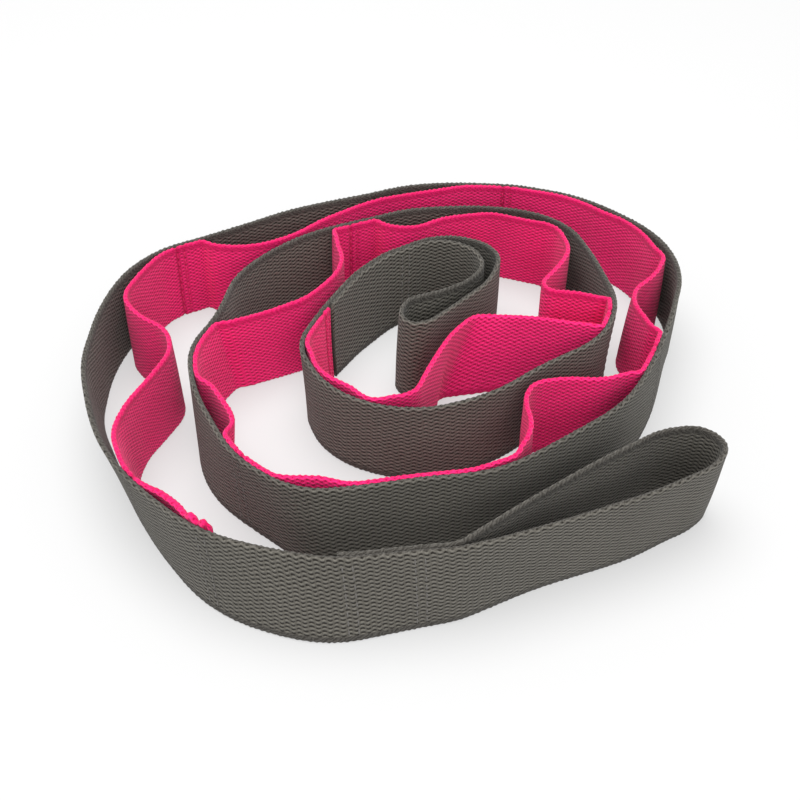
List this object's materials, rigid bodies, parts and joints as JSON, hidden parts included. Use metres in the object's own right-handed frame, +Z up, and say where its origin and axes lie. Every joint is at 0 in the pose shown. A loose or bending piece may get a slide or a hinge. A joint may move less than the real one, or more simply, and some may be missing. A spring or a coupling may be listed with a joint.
{
  "type": "stretching strap",
  "caption": "Webbing stretching strap with a row of sewn loops and an end loop at each end, standing on edge in a loose coil",
  "frame": {"origin": "the middle of the coil's bounding box, on the surface that the webbing's lower edge stands on", "axes": "+Z up, across the webbing; +X along the coil's longest side, towards the outer end loop's tip; +Y towards the back of the coil"},
  "size_m": [0.2556, 0.2512, 0.038],
  "materials": {
    "base_webbing": "coarse woven cotton webbing, dark warm grey",
    "loop_webbing": "coarse woven cotton webbing, bright pink",
    "base_thread": "matt sewing thread"
  },
  "bodies": {
    "coil": {"base_span_3": "base_webbing", "base_span_4": "base_webbing", "base_span_5": "base_webbing", "base_span_6": "base_webbing", "base_span_7": "base_webbing", "base_span_8": "base_webbing", "base_span_9": "base_webbing", "inner_tail": "base_webbing", "loop_2": "loop_webbing", "loop_3": "loop_webbing", "loop_4": "loop_webbing", "loop_5": "loop_webbing", "loop_6": "loop_webbing", "loop_7": "loop_webbing", "seam_2_stitches": "base_thread", "seam_3_stitches": "base_thread", "seam_4_stitches": "base_thread", "seam_5_stitches": "base_thread", "seam_6_stitches": "base_thread", "seam_7_stitches": "base_thread", "loop_end_stitches": "base_thread", "inner_seam_stitches": "base_thread", "inner_tail_stitches": "base_thread"},
    "first_loop_span": {"base_span_2": "base_webbing", "loop_1": "loop_webbing", "seam_1_stitches": "base_thread"},
    "outer_end_span": {"base_span_1": "base_webbing", "outer_tail": "base_webbing", "loop_tab": "loop_webbing", "tab_end_stitches": "base_thread", "outer_seam_stitches": "base_thread", "outer_tail_stitches": "base_thread"},
    "outer_loop": {"outer_end_loop": "base_webbing"},
    "inner_loop": {"inner_end_loop": "base_webbing"}
  },
  "joints": [
    {"name": "first_loop_swing", "type": "hinge", "parent": "coil", "child": "first_loop_span", "pos_m": [-0.10333, 0.06786, 0.019], "axis": [0, 0, -1], "range_deg": [0, 75]},
    {"name": "outer_end_swing", "type": "hinge", "parent": "first_loop_span", "child": "outer_end_span", "pos_m": [-0.09613, -0.08801, 0.019], "axis": [0, 0, -1], "range_deg": [-2, 90]},
    {"name": "outer_loop_swing", "type": "hinge", "parent": "outer_end_span", "child": "outer_loop", "pos_m": [0.01274, -0.12247, 0.019], "axis": [0, 0, -1], "range_deg": [-4, 90]},
    {"name": "inner_loop_swing", "type": "hinge", "parent": "coil", "child": "inner_loop", "pos_m": [0.00659, 0.06852, 0.019], "axis": [0, 0, -1], "range_deg": [-6, 12]}
  ]
}
